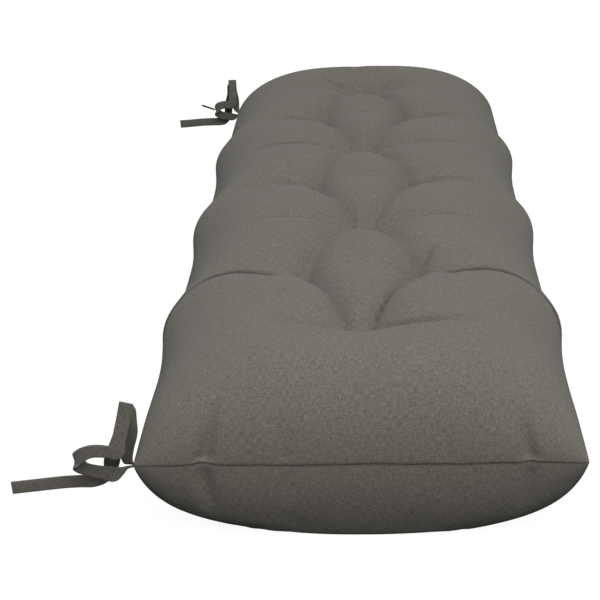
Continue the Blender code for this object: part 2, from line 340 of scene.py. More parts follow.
# %% [markdown]
# A tuft pulls creases with it: towards its neighbours, and out to the sides. Each crease
# is a line of short straight runs that bends a little, with a depth that changes along
# it. Its cross-section is a cusp with flat shoulders, so that the cloth between the
# creases is left standing as a dome. A crease from a tuft of a pair is steep on the side
# of the near end and drops away slowly on the other, as cloth does that lies over itself.

# %% The creases between the tufts
CREASES = (
    # start, across_b,      rows_b, bow, deep_a, middle, deep_b, near and far reach
    ("one",  PAIR_OFFSET,   1,      1.2, 0.018,  0.015,  0.024,  0.040, 0.040),
    ("one",  PAIR_OFFSET,  -1,      0.4, 0.018,  0.015,  0.024,  0.044, 0.044),
    ("two",  0.0,           0,      1.0, 0.022,  0.004,  0.003,  0.034, 0.034),
)
TUFT_HALF = 0.009         # the creases to the next row start this far off a lone tuft
ARCH_ROWS = 0.08          # and those to the row before start this many rows before it
# from a lone tuft to the sides: (across, rows past the tuft), first in row 1, then elsewhere
LONE_ROUTES = (((0.0, 0.0), (0.020, -0.08), (0.050, -0.11), (0.150, -0.12)),
               ((0.0, 0.0), (0.050, 0.0), (0.100, 0.0), (0.150, 0.0)))
LONE_DEPTHS = ((0.010, 0.0035, 0.0), (0.018, 0.006, 0.0))
LONE_REACH = (0.032, 0.056)
LAST_REACH = (0.032, 0.040)    # in the last row, whose far side is the end's wall
# from a tuft of a pair to the side seam: (across, rows past the tuft)
SIDE_ROUTE = ((0.060, 0.0), (0.066, -0.07), (0.083, -0.12), (0.103, -0.10), (0.125, -0.055),
              (0.151, -0.05), (0.168, -0.10), (0.184, -0.22), (0.196, -0.40), (0.1999, -0.55))
SIDE_DEPTHS = (0.020, 0.0055, 0.0050)
SIDE_REACH = (0.015, 0.070)
CREASE_SHARPNESS = 2.8
CREASE_MERGE = 4.0        # how sharply the deepest of several creases wins
CREASE_PIECES = 8         # straight runs in a crease between two tufts
REACH_TURN = 0.004        # over this width the near reach turns into the far one
SAG = {1: 0.017, 0: 0.010}     # what a lone tuft, and one of a pair, draws down round it
SAG_REACH = 0.055


def crease_lines():
    """Every crease as (its points, its three depths, its near and far reach).

    A crease runs evenly along the cushion, and across it by its share to the power bow,
    so a bow above 1 leaves the first tuft straight on and one below 1 leaves it sideways.
    """
    lines = []
    share = np.linspace(0.0, 1.0, CREASE_PIECES + 1)
    for row in range(1, TUFT_ROWS + 1):
        kind, start_across = ("one", 0.0) if row % 2 else ("two", PAIR_OFFSET)
        for side in (-1.0, 1.0):
            for start, across_b, rows_b, bow, deep_a, middle, deep_b, near, far in CREASES:
                if start == kind and 1 <= row + rows_b <= TUFT_ROWS:
                    from_across = start_across + TUFT_HALF * (rows_b == 1)
                    x = side * (from_across + (across_b - from_across) * share ** bow)
                    y = row_along(row + rows_b * share - ARCH_ROWS * (rows_b < 0) * (1.0 - share))
                    lines.append((np.stack((x, y), axis=1), (deep_a, middle, deep_b),
                                  (near, far)))
            route, depths, reach = SIDE_ROUTE, SIDE_DEPTHS, SIDE_REACH
            if kind == "one":
                route, depths = LONE_ROUTES[row > 1], LONE_DEPTHS[row > 1]
                reach = LONE_REACH if row < TUFT_ROWS else LAST_REACH
            points = [(side * across_at, row_along(row + rows)) for across_at, rows in route]
            lines.append((np.array(points), depths, reach))
    return lines


def share_and_distance(across, along, a, b):
    """For each place, its share of the way from a to b, and how far it is from that run."""
    run = b - a
    share = ((across - a[0]) * run[0] + (along - a[1]) * run[1]) / run.dot(run)
    share = np.clip(share, 0.0, 1.0)
    away = np.hypot(across - a[0] - share * run[0], along - a[1] - share * run[1])
    return share, away


def along_line_of(points, across, along):
    """For each place, its share of the way along a broken line, and how far beyond it is.

    Beyond is the distance from the line, and is below 0 on the side of the near end.
    """
    nearest = np.full_like(across, np.inf)
    spot, beyond = np.zeros_like(across), np.zeros_like(across)
    for piece, (a, b) in enumerate(zip(points[:-1], points[1:])):
        share, away = share_and_distance(across, along, a, b)
        closer = away < nearest
        side = (b[0] - a[0]) * (along - a[1]) - (b[1] - a[1]) * (across - a[0])
        spot = np.where(closer, (piece + share) / (len(points) - 1), spot)
        beyond = np.where(closer, np.sign(side) * np.sign(b[0] - a[0]) * away, beyond)
        nearest = np.where(closer, away, nearest)
    return spot, beyond


def crease_depth(across, along):
    """The deepest crease at each place, and the sag round each tuft.

    The creases are (sum of (depth x (1 - away / reach)^CREASE_SHARPNESS)^CREASE_MERGE),
    to the power 1 / CREASE_MERGE, and the sag is a bell over each tuft.
    """
    total = np.zeros_like(across)
    for points, depths, (near, far) in crease_lines():
        spot, beyond = along_line_of(points, across, along)
        depth = np.interp(spot, (0.0, 0.5, 1.0), depths)
        reach = near + (far - near) * np.clip(beyond / REACH_TURN + 0.5, 0.0, 1.0)
        wall = np.clip(1.0 - np.abs(beyond) / reach, 0.0, 1.0) ** CREASE_SHARPNESS
        total += (depth * wall) ** CREASE_MERGE
    sag = np.zeros_like(across)
    for place in tufts:
        away = np.hypot(across - place[0], along - place[1])
        sag += SAG[int(place[0] == 0.0)] * np.exp(-(away / SAG_REACH) ** 2)
    return total ** (1.0 / CREASE_MERGE) + sag


print(len(crease_lines()), "creases")


# %% The sides' swelling
def side_swelling(across, along, full, share):
    """Out past the seam: a bell near each row of two, most halfway up the wall.

    It is SIDE_BULGE x bells x (share x 4 full (1 - full) + SEAM_SHARE x (1 - full)).
    """
    out = np.zeros_like(across)
    for row in range(2, TUFT_ROWS + 1, 2):
        out += np.exp(-((along - row_along(row) + BULGE_SHIFT) / BULGE_REACH) ** 2)
    wall = 4.0 * full * (1.0 - full) * (np.abs(across) > WIDTH / 4)
    return np.sign(across) * SIDE_BULGE * out * (share * wall + SEAM_SHARE * (1.0 - full))


# %% The two panels
UNDER_DIMPLE, UNDER_DIMPLE_REACH = 0.006, 0.022
BELLY_SHARE = 0.6         # the share of the sides' swelling that the lower wall follows
CREASE_RISE = 1.3         # creases are whole from where the panel is 1 / this full
LIFT_REACH = 0.09         # how far in from an end the lower panel curves up
LIFT_MIDDLE, LIFT_ACROSS = 0.15, 0.11   # its share in the middle, and where that grows by 1
LIFT_LOSS, LOSS_REACH = 0.3, 0.06       # the share that is missing on the side at +X


def top_panel(across, along):
    """SEAM_HEIGHT + CROWN x full, less what the creases take from it."""
    near = along < 0
    full = fullness(across, along, np.where(near, TOP_END_RUN, FAR_END_RUN), TOP_RISE,
                    np.where(near, END_POWER, FAR_END_POWER))
    height = CROWN * full - crease_depth(across, along) * np.minimum(full * CREASE_RISE, 1.0)
    x = across + side_swelling(across, along, full, 1.0)
    return np.stack((x, along, SEAM_HEIGHT + np.maximum(height, 0.0)), axis=-1)


def lower_panel(across, along):
    """SEAM_HEIGHT - BELLY x full, cut off at the floor, where the belly lies flat.

    The ends curve up by END_LIFT x a bell from the end x bow x full squared, and bow is
    largest between the middle line and the sides.
    """
    full = fullness(across, along, BELLY_END_RUN, BELLY_RISE)
    at_end = np.exp(-((LENGTH / 2 - np.abs(along)) / LIFT_REACH) ** 2)
    bow = LIFT_MIDDLE + (across / LIFT_ACROSS) ** 2 * (1.0 - (across / (WIDTH / 2)) ** 2)
    bow *= 1.0 - LIFT_LOSS * np.clip(across / LOSS_REACH, 0.0, 1.0)
    height = np.maximum(SEAM_HEIGHT - BELLY * full, 0.0) + END_LIFT * at_end * bow * full ** 2
    for place in tufts:
        away = np.hypot(across - place[0], along - place[1])
        height += UNDER_DIMPLE * np.clip(1.0 - (away / UNDER_DIMPLE_REACH) ** 2, 0.0, 1.0)
    x = across + side_swelling(across, along, full, BELLY_SHARE)
    return np.stack((x, along, height), axis=-1)


dome = top_panel(np.array([0.0]), np.array([row_along(1.5)]))[0]
print("the dome past the first tuft is", round(float(dome[2]) * 1000), "mm high")

# %% [markdown]
# The grid's lines are even along the cloth and not along the floor, so that the steep
# walls by the seams get as many cells as the flat middle, and they stand closer by the
# seams and by the rows of two tufts, where the sharp folds are.

# %% The grid's lines
CELL, SEAM_CELL, FOLD_CELL = 0.0042, 0.00025, 0.0014
# painted shade: a thin dark line along every seam, written into the attribute "seam"
SEAM_LINE = 0.00024       # how far the seam's dark line reaches each way
SEAM_REACH, FOLD_REACH = 0.0025, 0.016     # how far the closer lines go on from each
FOLD_ROWS = 0.09          # the sharp folds lie this many rows before their rows
RUN_STEPS, LINE_STEPS = 6001, 20001        # samples of a run of cloth


def cloth_run(half, power, reach, rise, lift):
    """Distance in from a seam, and the length of cloth that covers it.

    The length is the running sum of the hypotenuses of the panel's profile.
    """
    inward = half * np.linspace(0.0, 1.0, RUN_STEPS) ** 2
    lifted = lift * (1.0 - (1.0 - np.minimum(inward / reach, 1.0)) ** power) ** rise
    steps = np.hypot(np.diff(inward), np.diff(lifted))
    return inward, np.concatenate(([0.0], np.cumsum(steps)))


def cloth_to(places, half, run):
    """The length of cloth from the middle line to each flat place."""
    inward, cloth = run
    return np.sign(places) * (cloth[-1] - np.interp(half - np.abs(places), inward, cloth))


def line_places(half, run, folds):
    """Places of the grid's lines from -half to half, and the cloth's length to each.

    The lines are even in the running sum of step / size, where size is CELL less a bell
    at each seam and at each fold.
    """
    inward, cloth = run
    total = cloth[-1]
    along_cloth = np.linspace(-total, total, LINE_STEPS)
    near_seam = np.exp(-((total - np.abs(along_cloth)) / SEAM_REACH))
    size = CELL + (SEAM_CELL - CELL) * near_seam
    flat = np.sign(along_cloth) * (half - np.interp(total - np.abs(along_cloth), cloth, inward))
    for fold in folds:
        size -= (CELL - FOLD_CELL) * np.exp(-((flat - fold) / FOLD_REACH) ** 2)
    cells = np.concatenate(([0.0], np.cumsum(np.diff(along_cloth) / size[1:])))
    count = 2 * int(round(cells[-1] / 2))
    chosen = np.interp(np.linspace(0.0, cells[-1], count + 1), cells, along_cloth)
    places = np.sign(chosen) * (half - np.interp(total - np.abs(chosen), cloth, inward))
    places[0], places[-1] = -half, half
    return places, chosen


TOP_RUN_ACROSS = cloth_run(WIDTH / 2, SIDE_POWER, WIDTH / 2, TOP_RISE, CROWN)
TOP_RUN_ALONG = cloth_run(LENGTH / 2, END_POWER, TOP_END_RUN, TOP_RISE, CROWN)
PANEL_GAP = 3.0           # between the two panels in the UV map
fold_places = [row_along(row - FOLD_ROWS) for row in range(2, TUFT_ROWS + 1, 2)]
across_line, cloth_across = line_places(WIDTH / 2, TOP_RUN_ACROSS, ())
along_line, cloth_along = line_places(LENGTH / 2, TOP_RUN_ALONG, fold_places)
across, along = np.meshgrid(across_line, along_line)
cloth_u, cloth_v = np.meshgrid(cloth_across, cloth_along)
print("grid", across.shape, "for cloth of", round(2 * cloth_across[-1], 3), "by",
      round(2 * cloth_along[-1], 3), "m")

# %% [markdown]
# Fine folds lie on top of the large shape. Each one is a narrow trough that is pressed
# in along the surface's own normal, which comes from the cross product of the grid's two
# directions. Where cloth lies over itself, the fold has a shaded band beyond it, which is
# written into the attribute "seam" for the material to darken.

# %% Normals and troughs
def surface_normals(points):
    """The unit cross product of the steps across and the steps along."""
    step_across = np.gradient(points, axis=1)
    step_along = np.gradient(points, axis=0)
    normals = np.cross(step_across, step_along)
    return normals / np.maximum(np.linalg.norm(normals, axis=-1, keepdims=True), 1e-12)


# %% Folds of the top panel
def mirrored(places):
    """The same places on the other side of the middle line."""
    return [(-across_at, row) for across_at, row in places]


SIDE_FOLD = [(across_at, 2.0 + rows) for across_at, rows in SIDE_ROUTE]
TOP_FOLDS = (
    # places as (across, rows), depth, lip, near and far width,
    # darkness of the painted shade, how wide it stays whole, how far it fades, and 1 for a long
    # fade at its end
    (mirrored(SIDE_FOLD),              0.0008, 0.0005, 0.0012, 0.0040, 0.95, 0.0072, 0.0036, 0),
    (SIDE_FOLD,                        0.0008, 0.0005, 0.0012, 0.0040, 0.95, 0.0072, 0.0036, 0),
    ([(0.009, 1.03), (0.018, 1.25), (0.030, 1.50), (0.043, 1.75), (0.053, 1.92)],
     0.0030, 0.0000, 0.0022, 0.0022, 0.90, 0.000, 0.0018, 1),
    ([(-0.009, 1.03), (-0.018, 1.25), (-0.030, 1.50), (-0.043, 1.75), (-0.053, 1.92)],
     0.0000, 0.0000, 0.0022, 0.0022, 0.30, 0.000, 0.0050, 1),
    ([(0.012, 0.93), (0.050, 0.89), (0.120, 0.90)],
     0.0050, 0.0005, 0.0020, 0.0090, 0.40, 0.008, 0.0060, 1),
    ([(-0.02, 0.92), (-0.050, 0.89), (-0.100, 0.88)],
     0.0020, 0.0000, 0.0040, 0.0120, 0.12, 0.006, 0.0050, 1),
    ([(0.066, 2.06), (0.072, 2.20), (0.082, 2.36)],
     0.0030, 0.0000, 0.0030, 0.0030, 0.45, 0.000, 0.0040, 1),
    ([(-0.040, 2.98), (-0.130, 2.96)], 0.0030, 0.0015, 0.0012, 0.0050, 0.50, 0.005, 0.0030, 1),
    ([(0.060, 3.00), (0.160, 2.96)],   0.0020, 0.0010, 0.0014, 0.0050, 0.25, 0.004, 0.0040, 1),
    ([(-0.062, 4.00), (-0.110, 4.02)], 0.0040, 0.0010, 0.0014, 0.0060, 0.20, 0.006, 0.0040, 1),
    ([(0.062, 4.00), (0.140, 4.05)],   0.0040, 0.0010, 0.0014, 0.0060, 0.20, 0.006, 0.0040, 1),
    ([(-0.050, 5.00), (-0.160, 4.97)], 0.0030, 0.0010, 0.0012, 0.0050, 0.45, 0.005, 0.0040, 1),
    ([(0.060, 5.00), (0.150, 5.00)],   0.0020, 0.0000, 0.0014, 0.0050, 0.20, 0.004, 0.0040, 1),
    ([(-0.062, 6.00), (-0.115, 6.02)], 0.0030, 0.0010, 0.0014, 0.0060, 0.20, 0.006, 0.0040, 1),
    ([(0.062, 6.00), (0.150, 6.05)],   0.0030, 0.0010, 0.0014, 0.0060, 0.20, 0.006, 0.0040, 1),
    ([(-0.020, 7.05), (-0.080, 7.30)], 0.0030, 0.0000, 0.0020, 0.0060, 0.20, 0.004, 0.0040, 1),
    ([(0.020, 7.05), (0.080, 7.25)],   0.0035, 0.0000, 0.0020, 0.0060, 0.20, 0.004, 0.0040, 1),
    ([(-0.030, 1.96), (0.030, 1.96)],  0.0012, 0.0000, 0.0020, 0.0040, 0.22, 0.002, 0.0030, 1),
)
LIP_REACH = 0.010
FADE_IN, FADE_OUT, SEAM_FADE = 0.25, 0.40, 0.14      # shares of a fold's length


def top_folds(across, along):
    """The sharp folds' depth, and the shade painted on the cloth in and beyond them.

    A fold is depth x exp(-away / width), steep on the side of the near end, whose cloth
    stands up as a lip, a bell, and slow on the far side. The painted shade is whole for its
    offset beyond the fold and then falls off as a bell. Both ends fade.
    """
    depth_sum, dark = np.zeros_like(across), np.zeros_like(across)
    for places, depth, lip, near, far, darkness, offset, reach, fades in TOP_FOLDS:
        points = np.array([(across_at, row_along(row)) for across_at, row in places])
        spot, beyond = along_line_of(points, across, along)
        fade = np.clip(spot / FADE_IN, 0.0, 1.0)
        fade *= np.clip((1.0 - spot) / (FADE_OUT if fades else SEAM_FADE), 0.0, 1.0)
        away = np.abs(beyond)
        depth_sum += fade * (depth * np.exp(-away / np.where(beyond < 0, near, far))
                             - lip * (beyond < 0) * np.exp(-(away / LIP_REACH) ** 2))
        past = np.where(beyond < 0, beyond, np.maximum(beyond - offset, 0.0))
        dark = np.maximum(dark, darkness * fade * np.exp(-(past / reach) ** 2))
    return depth_sum, dark


print(len(TOP_FOLDS), "folds")

# %% [markdown]
# Where two panels are sewn, the stitches gather the cloth, and a few puckers run from
# the seam up and down the walls. The seam itself is a narrow groove that strays a little.

# %% Puckers and the seam's groove
END_PUCKERS = (
    # across on the seam, lean, length, depth, width
    (-0.139, 0.16, 0.056, 0.0095, 0.0070),
    (-0.066, 0.00, 0.034, 0.0022, 0.0050),
    (0.077, 0.00, 0.042, 0.0022, 0.0035),
    (0.150, -0.14, 0.054, 0.0075, 0.0058),
)
PUCKER_START, START_SHARE = 0.004, 0.3     # a pucker deepens from this share over this run
LOWER_PUCKER = 0.6        # how large the puckers are on the lower panel
PUCKER_LIFT, LIFT_WIDTH = 0.14, 0.010      # what a pucker draws the seam up, of its depth
GROOVE_DEPTH, GROOVE_WIDTH = 0.00025, 0.0003
STRAY_REACH, CORNER_REACH = 0.006, 0.02    # the seam's stray fades off it and at corners


def puckers(across, cloth_v, scale):
    """Troughs that start at the near seam and run up the wall, with a lean.

    Each is depth x a bell across it x exp(-(from the seam / length)^3).
    """
    from_seam = cloth_v + cloth_along[-1]
    dent = np.zeros_like(across)
    for place, lean, length, depth, width in END_PUCKERS:
        middle = place + lean * from_seam
        rise = (np.clip(from_seam / PUCKER_START, START_SHARE, 1.0)
                * np.exp(-(from_seam / length / scale) ** 3))
        dent += depth * scale * rise * np.exp(-((across - middle) / width) ** 2)
    return dent


def seam_wander(across, along):
    """How far the end seams and the side seams stray up or down from a straight line.

    Each is a sum of two sine waves, and the near seam is drawn up at its puckers.
    """
    stray = 0.0005 * np.sin(across * 47.0 + 1.3) + 0.0003 * np.sin(across * 123.0)
    for place, _, _, depth, _ in END_PUCKERS:
        bell = np.exp(-((across - place) / LIFT_WIDTH) ** 2)
        stray += PUCKER_LIFT * depth * bell * (along < 0)
    side = 0.0006 * np.sin(along * 31.0 + 0.5) + 0.0004 * np.sin(along * 83.0 + across)
    return stray, side


def seam_groove(points, across, along, cloth_u, cloth_v):
    """Moves the cloth in by GROOVE_DEPTH x exp(-away / GROOVE_WIDTH), and lets it stray."""
    from_side = cloth_across[-1] - np.abs(cloth_u)
    from_end = cloth_along[-1] - np.abs(cloth_v)
    points = points.copy()
    stray, side = seam_wander(across, along)
    at_end = np.exp(-from_end / STRAY_REACH) * np.clip(from_side / CORNER_REACH, 0.0, 1.0)
    at_side = np.exp(-from_side / STRAY_REACH) * np.clip(from_end / CORNER_REACH, 0.0, 1.0)
    points[..., 2] += stray * at_end + side * at_side
    points[..., 0] -= np.sign(across) * GROOVE_DEPTH * np.exp(-from_side / GROOVE_WIDTH)
    points[..., 1] -= np.sign(along) * GROOVE_DEPTH * np.exp(-from_end / GROOVE_WIDTH)
    return points


print(len(END_PUCKERS), "puckers at the near seam")


# %% [markdown]
# ## One closed mesh
# Both panels have the same grid, so the points on its rim are shared: the lower panel's
# rim uses the top panel's points, and the seam is closed by construction.

# %% The cushion's mesh
def closed_grid(name, top, lower, top_uv, lower_uv, top_painted_shade, lower_painted_shade):
    """Two grids of points with one rim, as a mesh with a UV map in metres."""
    rows, columns = top.shape[:2]
    top_index = np.arange(rows * columns).reshape(rows, columns)
    inner = np.zeros((rows, columns), dtype=bool)
    inner[1:-1, 1:-1] = True
    lower_index = top_index.copy()
    lower_index[inner] = rows * columns + np.arange(inner.sum())
    points = np.concatenate((top.reshape(-1, 3), lower[inner]))
    dark = np.concatenate((top_painted_shade.ravel(), lower_painted_shade[inner]))

    def quads(index, flip):
        corners = (index[:-1, :-1], index[:-1, 1:], index[1:, 1:], index[1:, :-1])
        faces = np.stack([corner.ravel() for corner in corners], axis=1)
        return faces[:, ::-1] if flip else faces

    faces = np.concatenate((quads(top_index, False), quads(lower_index, True)))
    # the two panels are separate cuts of cloth, so each has its own place in the UV map
    uv = np.concatenate((top_uv.reshape(-1, 2)[quads(top_index, False)].reshape(-1, 2),
                         lower_uv.reshape(-1, 2)[quads(top_index, True)].reshape(-1, 2)))
    mesh = bpy.data.meshes.new(name)
    mesh.vertices.add(len(points))
    mesh.vertices.foreach_set("co", points.astype(np.float32).ravel())
    mesh.loops.add(faces.size)
    mesh.loops.foreach_set("vertex_index", faces.astype(np.int32).ravel())
    mesh.polygons.add(len(faces))
    mesh.polygons.foreach_set("loop_start", np.arange(0, faces.size, 4, dtype=np.int32))
    mesh.update(calc_edges=True)
    mesh.validate()
    layer = mesh.uv_layers.new(name="weave")
    layer.data.foreach_set("uv", uv.astype(np.float32).ravel())
    # the attribute "seam" holds painted shade: along the seams and in the sharp folds
    attribute = mesh.attributes.new("seam", "FLOAT", "POINT")
    attribute.data.foreach_set("value", dark.astype(np.float32))
    mesh.shade_smooth()
    made = bpy.data.objects.new(name, mesh)
    bpy.context.scene.collection.objects.link(made)
    return made


# %% [markdown]
# ## Letting the filling push
# The shape so far is drawn, and its domes are too flat. A coarse copy of both panels is
# made into cloth with air pressure inside, held at the seam, at the tufts and where the
# belly lies. It moves for a few frames, and how far each of its points has moved, up to a
# cap, is spread over the fine grid with cubic weights.

# %% Cloth under pressure
SIM_CELL, SIM_FRAMES, SIM_CAP = 0.0080, 18, 0.012
SIM_PRESSURE = 4.0
TUFT_HOLD = 0.007         # the thread holds the cloth within this of a tuft
FLOOR_HOLD = 0.004        # and the floor holds what is lower than this


def sim_lines(half, run):
    """Evenly spaced places along the cloth, as flat places and as lengths of cloth."""
    inward, cloth = run
    total = cloth[-1]
    chosen = np.linspace(-total, total, 2 * int(round(total / SIM_CELL)) + 1)
    places = np.sign(chosen) * (half - np.interp(total - np.abs(chosen), cloth, inward))
    places[0], places[-1] = -half, half
    return places, chosen


def cubic_weights(fine, coarse):
    """A matrix that turns values on the coarse lines into values on the fine ones."""
    step = coarse[1] - coarse[0]
    spot = np.clip((fine - coarse[0]) / step, 0.0, len(coarse) - 1.000001)
    cell = spot.astype(int)
    t = spot - cell
    shares = (0.5 * (-t + 2 * t ** 2 - t ** 3), 0.5 * (2 - 5 * t ** 2 + 3 * t ** 3),
              0.5 * (t + 4 * t ** 2 - 3 * t ** 3), 0.5 * (t ** 3 - t ** 2))
    weights = np.zeros((len(fine), len(coarse)))
    for shift, share in zip((-1, 0, 1, 2), shares):
        column = np.clip(cell + shift, 0, len(coarse) - 1)
        np.add.at(weights, (np.arange(len(fine)), column), share)
    return weights


def settle(top, lower, held_top, held_lower):
    """How far the points of both panels move when they are cloth with pressure inside."""
    zero = np.zeros(top.shape[:2])
    copy = closed_grid("cushion_copy", top, lower, top[..., :2], top[..., :2], zero, zero)
    inner = np.zeros(zero.shape, dtype=bool)
    inner[1:-1, 1:-1] = True
    held = np.concatenate((held_top.ravel(), held_lower[inner]))
    group = copy.vertex_groups.new(name="held")
    for index in np.nonzero(held > 0)[0].tolist():
        group.add([index], float(held[index]), "REPLACE")
    start = np.empty(len(held) * 3)
    copy.data.vertices.foreach_get("co", start)
    cloth = copy.modifiers.new("cloth", "CLOTH")
    cloth.settings.quality = 6
    cloth.settings.mass = 0.3
    cloth.settings.tension_stiffness = 12.0
    cloth.settings.compression_stiffness = 12.0
    cloth.settings.shear_stiffness = 4.0
    cloth.settings.bending_stiffness = 0.3
    cloth.settings.use_pressure = True
    cloth.settings.uniform_pressure_force = SIM_PRESSURE
    cloth.settings.vertex_group_mass = "held"
    cloth.settings.effector_weights.gravity = 0.0
    cloth.collision_settings.use_collision = False
    cloth.point_cache.frame_start, cloth.point_cache.frame_end = 1, SIM_FRAMES
    scene = bpy.context.scene
    for step in range(1, SIM_FRAMES + 1):
        scene.frame_set(step)
    result = copy.evaluated_get(bpy.context.evaluated_depsgraph_get()).to_mesh()
    moved = np.empty(len(held) * 3)
    result.vertices.foreach_get("co", moved)
    scene.frame_set(1)
    bpy.data.objects.remove(copy, do_unlink=True)
    shift = (moved - start).reshape(-1, 3)
    size = np.linalg.norm(shift, axis=1, keepdims=True)
    print("cloth moved up to", round(float(size.max()) * 1000, 1), "mm, mean",
          round(float(size.mean()) * 1000, 2), "mm")
    # a move of any size becomes cap x tanh(size / cap), which nears the cap
    shift *= SIM_CAP * np.tanh(size / SIM_CAP) / np.maximum(size, 1e-9)
    top_shift = shift[:top[..., 0].size].reshape(top.shape)
    lower_shift = top_shift.copy()
    lower_shift[inner] = shift[top[..., 0].size:]
    return top_shift, lower_shift


def settled_shifts():
    """The moves of both panels on the fine grid: weights x coarse moves x weights."""
    sim_across, sim_u = sim_lines(WIDTH / 2, TOP_RUN_ACROSS)
    sim_along, sim_v = sim_lines(LENGTH / 2, TOP_RUN_ALONG)
    places = np.meshgrid(sim_across, sim_along)
    top, lower = top_panel(*places), lower_panel(*places)
    held = np.zeros(top.shape[:2])
    held[[0, -1], :] = held[:, [0, -1]] = 1.0
    held_lower = np.where(lower[..., 2] < FLOOR_HOLD, 1.0, held)
    for tuft in tufts:
        away = np.hypot(places[0] - tuft[0], places[1] - tuft[1])
        held[away < TUFT_HOLD] = 1.0
    weights_v, weights_u = cubic_weights(cloth_along, sim_v), cubic_weights(cloth_across, sim_u)
    return [np.einsum("vi,ijc,uj->vuc", weights_v, shift, weights_u, optimize=True)
            for shift in settle(top, lower, held, held_lower)]


top_shift, lower_shift = settled_shifts()

# %% [markdown]
# Last, the moves, the folds, the puckers and the groove are added to the drawn shape, and
# the two panels become one mesh. Each panel has its own place in the UV map, which runs
# along the cloth in metres, so the weave isn't stretched on the steep walls.

# %% The finished cushion
top_points = top_panel(across, along) + top_shift
# painted shade in and beyond the sharp folds
fold_dent, painted_fold_shade = top_folds(across, along)
top_dent = fold_dent + puckers(across, cloth_v, 1.0)
top_points -= surface_normals(top_points) * top_dent[..., None]
lower_points = lower_panel(across, along) + lower_shift
lower_dent = puckers(across, cloth_v, LOWER_PUCKER)
lower_points += surface_normals(lower_points) * lower_dent[..., None]
top_points = seam_groove(top_points, across, along, cloth_u, cloth_v)
lower_points = seam_groove(lower_points, across, along, cloth_u, cloth_v)
lower_points[..., 2] = np.maximum(lower_points[..., 2], 0.0)

from_seam = np.minimum(cloth_across[-1] - np.abs(cloth_u), cloth_along[-1] - np.abs(cloth_v))
# painted shade along the seams' grooves, as a bell across each seam
painted_seam_shade = np.exp(-(from_seam / SEAM_LINE) ** 2)
top_uv = np.stack((cloth_u, cloth_v), axis=-1)
low_run_across = cloth_run(WIDTH / 2, SIDE_POWER, WIDTH / 2, BELLY_RISE, SEAM_HEIGHT)
low_run_along = cloth_run(LENGTH / 2, END_POWER, BELLY_END_RUN, BELLY_RISE, SEAM_HEIGHT)
low_u = cloth_to(across_line, WIDTH / 2, low_run_across)
low_v = cloth_to(along_line, LENGTH / 2, low_run_along)
lower_uv = np.stack(np.meshgrid(low_u, low_v), axis=-1) + PANEL_GAP
cushion = closed_grid("cushion", top_points, lower_points, top_uv, lower_uv,
                      np.maximum(painted_seam_shade, painted_fold_shade), painted_seam_shade)
cushion.data.materials.append(cushion_cloth)
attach(cushion, "root")
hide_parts("cushion_body")
print("cushion", len(cushion.data.polygons), "cells")

# %% [markdown]
# ## The tie straps
# Each strap is a narrow folded strip, sewn shut along its edges and sewn into a corner of
# the seam. Its route is a short list of places, chosen so that it knots as such a tie
# does, and a smooth curve runs through them. A flat rounded section is carried along the
# curve, turned the way each row says. A simulation would need far finer cells than the
# cushion's to hold a strip this narrow, so the straps are modelled directly.

# %% The routes
MILLIMETRE = 0.001
STRAP_WIDTH, STRAP_THICKNESS = 0.0125, 0.0016
STEPS = 9                 # pieces between two rows of a route
